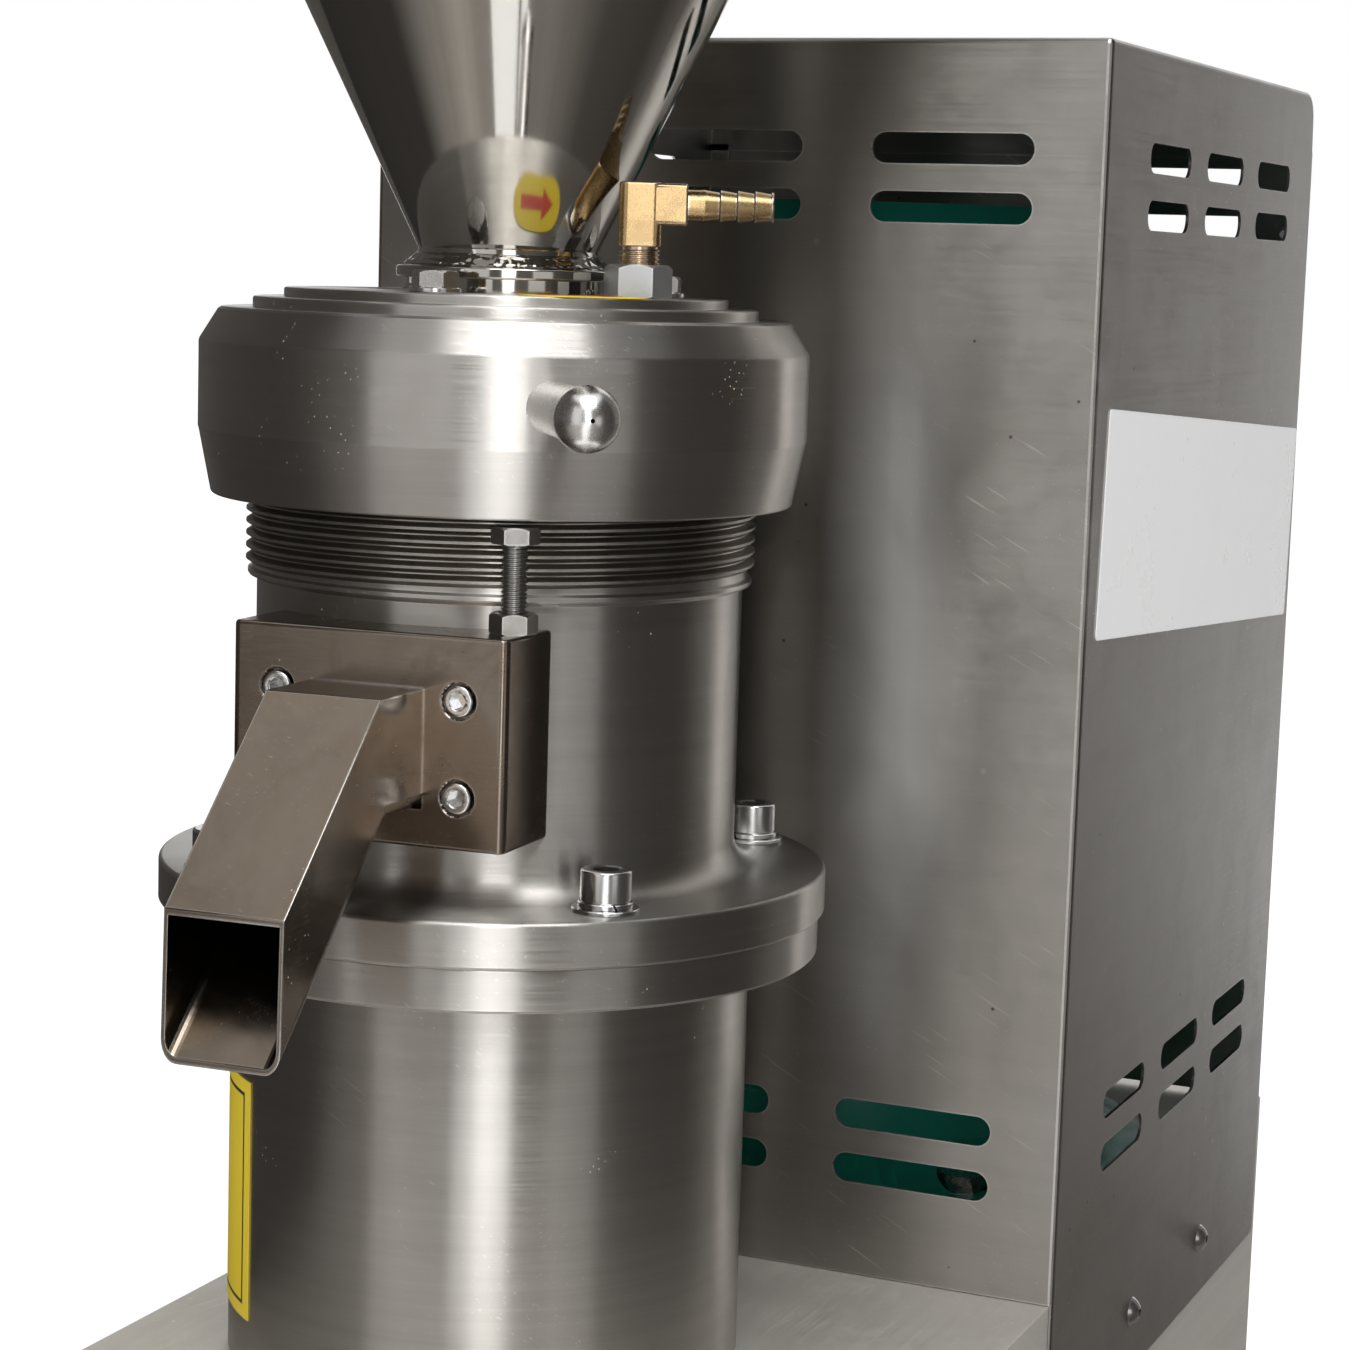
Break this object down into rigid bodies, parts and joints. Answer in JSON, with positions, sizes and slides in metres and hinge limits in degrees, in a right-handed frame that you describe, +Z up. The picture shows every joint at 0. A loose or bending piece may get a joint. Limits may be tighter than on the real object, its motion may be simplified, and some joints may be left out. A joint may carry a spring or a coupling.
{
  "type": "nut butter grinder",
  "caption": "Upright colloid mill with a conical hopper, adjusting ring and discharge chute, belt-driven by a motor under a slotted steel cover.",
  "frame": {"origin": "centre of the four anchor holes, on the floor", "axes": "+Z up; -Y is the front with the discharge chute; +X is to the right seen from the front; the motor cover stands at +Y"},
  "size_m": [0.3564, 0.6337, 0.8234],
  "materials": {
    "turned_steel": "lathe-turned satin with bright bands",
    "machined_block": "milled and half polished, brownish",
    "chute_sheet": "satin sheet with bright bends",
    "hopper_steel": "mirror polished",
    "cover_sheet": "brushed upright, smudged",
    "base_plate": "satin, brownish grey",
    "bright_fasteners": "bright stainless",
    "dark_fasteners": "zinc plated",
    "inner_steel": "ground",
    "seal_carbon": "graphite black",
    "black_rubber": "matt",
    "cast_pulley": "turned cast iron",
    "socket_steel": "zinc plated",
    "brass": "satin cast brass",
    "motor_green": "semi-gloss enamel",
    "copper_winding": "varnished",
    "black_plastic": "moulded",
    "sign_white": "blank white film",
    "label_yellow": "blank yellow film with a plain border",
    "box_metal": "brushed",
    "button_green": "moulded",
    "button_red": "moulded"
  },
  "bodies": {
    "frame": {"base_frame": "base_plate", "bearing_housing": "turned_steel", "housing_bolts": "dark_fasteners", "upper_bearing": "inner_steel", "lower_bearing": "inner_steel", "bearing_cap": "inner_steel", "grinding_housing": "turned_steel", "flange_screws": "bright_fasteners", "flange_washers": "bright_fasteners", "seal_seat": "seal_carbon", "discharge_block": "machined_block", "block_screws": "bright_fasteners", "discharge_chute": "chute_sheet", "lock_nut": "bright_fasteners", "motor_body": "motor_green", "motor_flange": "motor_green", "motor_winding": "copper_winding", "motor_bearings": "inner_steel", "motor_rear_shield": "motor_green", "motor_fan_cowl": "motor_green", "motor_terminal_box": "motor_green", "motor_bolts": "dark_fasteners", "drive_belts": "black_rubber", "motor_cover": "cover_sheet", "rear_panel": "cover_sheet", "cover_screws": "bright_fasteners", "rear_panel_screws": "bright_fasteners", "sign_plate": "sign_white", "barrel_label": "label_yellow", "switch_box": "box_metal", "switch_box_lid": "box_metal", "button_collars": "box_metal", "cable_gland": "black_plastic"},
    "spindle": {"spindle_shaft": "inner_steel", "seal_head": "seal_carbon", "throwing_disc": "inner_steel", "grinding_rotor": "inner_steel", "rotor_nut": "inner_steel", "spindle_pulley": "cast_pulley", "spindle_pulley_nut": "dark_fasteners"},
    "motor_shaft": {"motor_rotor": "inner_steel", "motor_fan": "black_plastic", "motor_pulley": "cast_pulley"},
    "seal": {"stator_seal": "black_rubber"},
    "head": {"adjusting_ring": "turned_steel", "ring_cap": "turned_steel", "grinding_stator": "inner_steel", "cap_bolts": "bright_fasteners", "cap_washers": "bright_fasteners", "feed_hopper": "hopper_steel", "turning_handle": "bright_fasteners", "water_sockets": "socket_steel", "water_elbows": "brass", "arrow_label": "label_yellow"},
    "stop_bolt": {"lock_bolt": "bright_fasteners"},
    "start": {"start_button": "button_green"},
    "stop": {"stop_button": "button_red"}
  },
  "joints": [
    {"name": "motor_spin", "type": "hinge", "parent": "frame", "child": "motor_shaft", "pos_m": [0, 0.131, 0.3], "axis": [0, 0, 1], "continuous": true},
    {"name": "spindle_spin", "type": "hinge", "parent": "frame", "child": "spindle", "pos_m": [-0.027, -0.148, 0.4], "axis": [0, 0, 1], "continuous": true},
    {"name": "ring_rise", "type": "slide", "parent": "frame", "child": "seal", "axis": [0, 0, 1], "range_m": [-0.0013, 0.0011]},
    {"name": "ring_turn", "type": "hinge", "parent": "seal", "child": "head", "pos_m": [-0.027, -0.148, 0.55], "axis": [0, 0, 1], "range_deg": [-110, 95]},
    {"name": "stop_bolt_travel", "type": "slide", "parent": "frame", "child": "stop_bolt", "axis": [0, 0, 1], "range_m": [-0.012, 0]},
    {"name": "start_press", "type": "slide", "parent": "frame", "child": "start", "axis": [1, 0, 0], "range_m": [0, 0.004], "stiffness_N_per_m": 600},
    {"name": "stop_press", "type": "slide", "parent": "frame", "child": "stop", "axis": [1, 0, 0], "range_m": [0, 0.004], "stiffness_N_per_m": 600}
  ],
  "couplings": [
    {"joint": "spindle_spin", "follows": "motor_spin", "ratio": 1.4},
    {"joint": "ring_rise", "follows": "ring_turn", "m_per_rad": 0.00063662}
  ]
}
